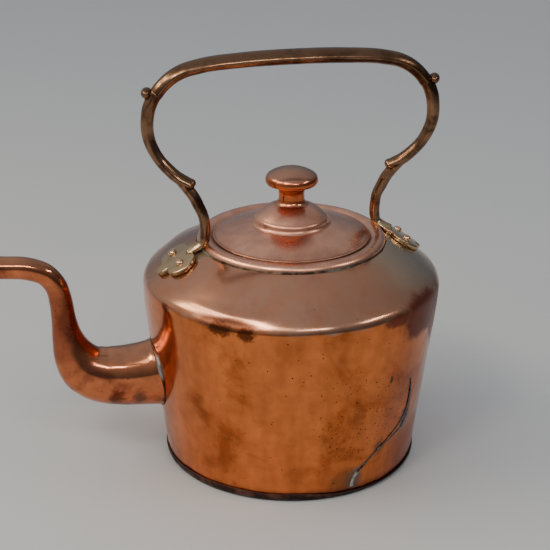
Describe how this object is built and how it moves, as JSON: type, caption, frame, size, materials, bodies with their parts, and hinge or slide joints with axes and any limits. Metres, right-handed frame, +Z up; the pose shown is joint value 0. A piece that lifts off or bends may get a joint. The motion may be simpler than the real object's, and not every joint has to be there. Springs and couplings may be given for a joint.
{
  "type": "stovetop kettle",
  "caption": "Raised sheet kettle with a tapered wall, gooseneck spout, fixed arched handle riveted to the shoulder, and a lift-off lid with a mushroom knob.",
  "frame": {"origin": "centre of the flat circle of the base that stands on the hob", "axes": "+Z up, spout towards -X, the handle's grip along X"},
  "size_m": [0.3257, 0.2096, 0.2983],
  "materials": {
    "copper": "aged polished copper sheet with brown tarnish",
    "brass": "cast brass, aged brown, worn bright on its edges",
    "rivet_copper": "peened copper, aged",
    "solder": "dull grey soft solder"
  },
  "bodies": {
    "kettle": {"base_pan": "copper", "body_wall": "copper", "body_shoulder": "copper", "mouth_ring": "copper", "spout": "copper", "base_solder": "solder", "ring_solder": "solder", "repair_solder": "solder", "spout_solder": "solder", "handle_grip": "brass", "handle_arm_left": "brass", "handle_arm_right": "brass", "foot_rivets_left": "rivet_copper", "foot_rivets_right": "rivet_copper", "rivet_roves_left": "rivet_copper", "rivet_roves_right": "rivet_copper"},
    "lid": {"lid_plate": "copper", "lid_flange": "copper", "lid_dome": "copper", "lid_knob": "copper", "knob_rove": "rivet_copper"}
  },
  "joints": [
    {"name": "lid_lift", "type": "slide", "parent": "kettle", "child": "lid", "axis": [0, 0, 1], "range_m": [0, 0.07]}
  ]
}
